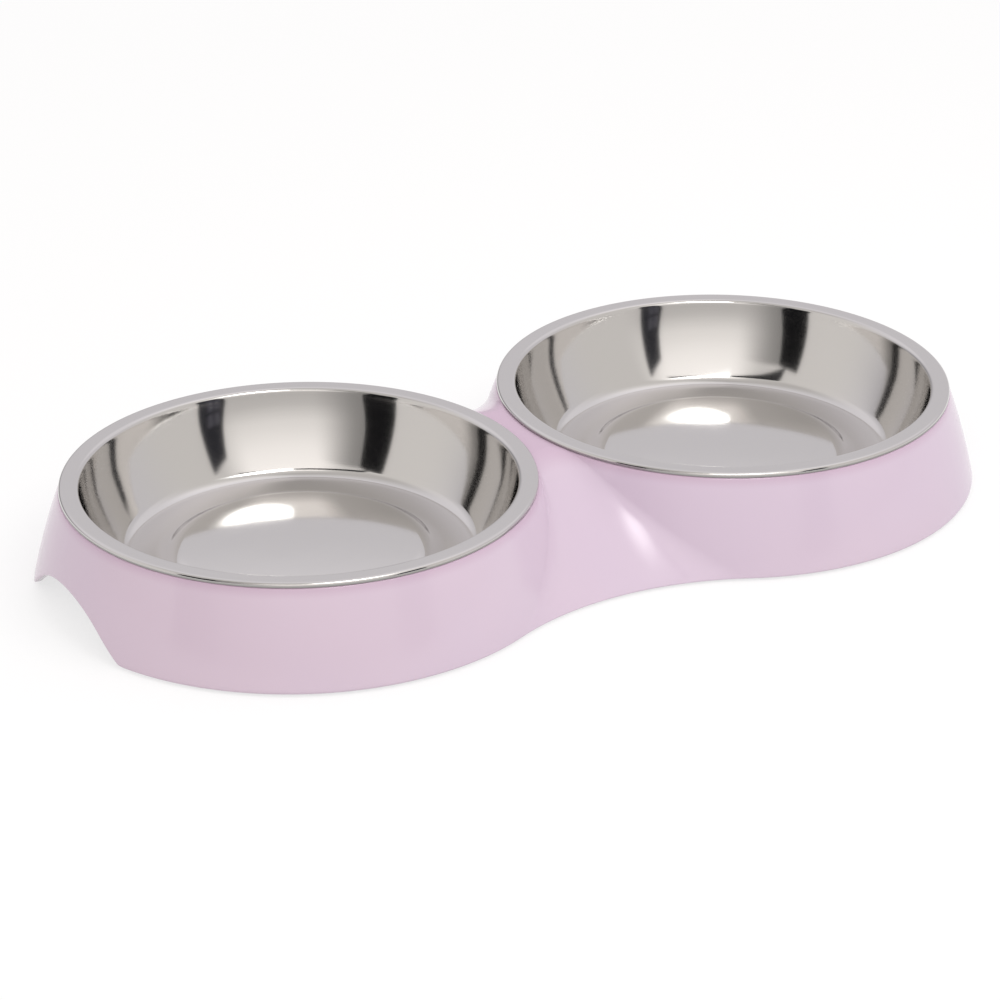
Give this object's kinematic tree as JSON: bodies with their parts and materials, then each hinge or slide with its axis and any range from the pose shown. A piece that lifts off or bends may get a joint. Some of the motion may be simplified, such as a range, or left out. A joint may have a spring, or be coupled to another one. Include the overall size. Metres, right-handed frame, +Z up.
{
  "type": "double pet bowl",
  "caption": "Double pet bowl: a glossy moulded stand with a drawn-in waist and finger notches holds lift-out stainless steel bowls side by side.",
  "frame": {"origin": "centre of the object's footprint, on the surface that it stands on", "axes": "+X runs along the row of bowls, from the left bowl to the right one; +Y runs to the back; +Z is up"},
  "size_m": [0.3182, 0.168, 0.0331],
  "materials": {
    "melamine": "glossy pale lilac pink melamine",
    "steel": "mirror polished stainless steel",
    "rubber": "matt dark rubber"
  },
  "bodies": {
    "stand": {"base_shell": "melamine", "foot_front_left": "rubber", "foot_front_middle": "rubber", "foot_front_right": "rubber", "foot_back_left": "rubber", "foot_back_middle": "rubber", "foot_back_right": "rubber"},
    "left_bowl": {"left_bowl": "steel"},
    "right_bowl": {"right_bowl": "steel"}
  },
  "joints": [
    {"name": "left_bowl_lift", "type": "slide", "parent": "stand", "child": "left_bowl", "axis": [0, 0, 1], "range_m": [0, 0.06]},
    {"name": "right_bowl_lift", "type": "slide", "parent": "stand", "child": "right_bowl", "axis": [0, 0, 1], "range_m": [0, 0.06]}
  ]
}
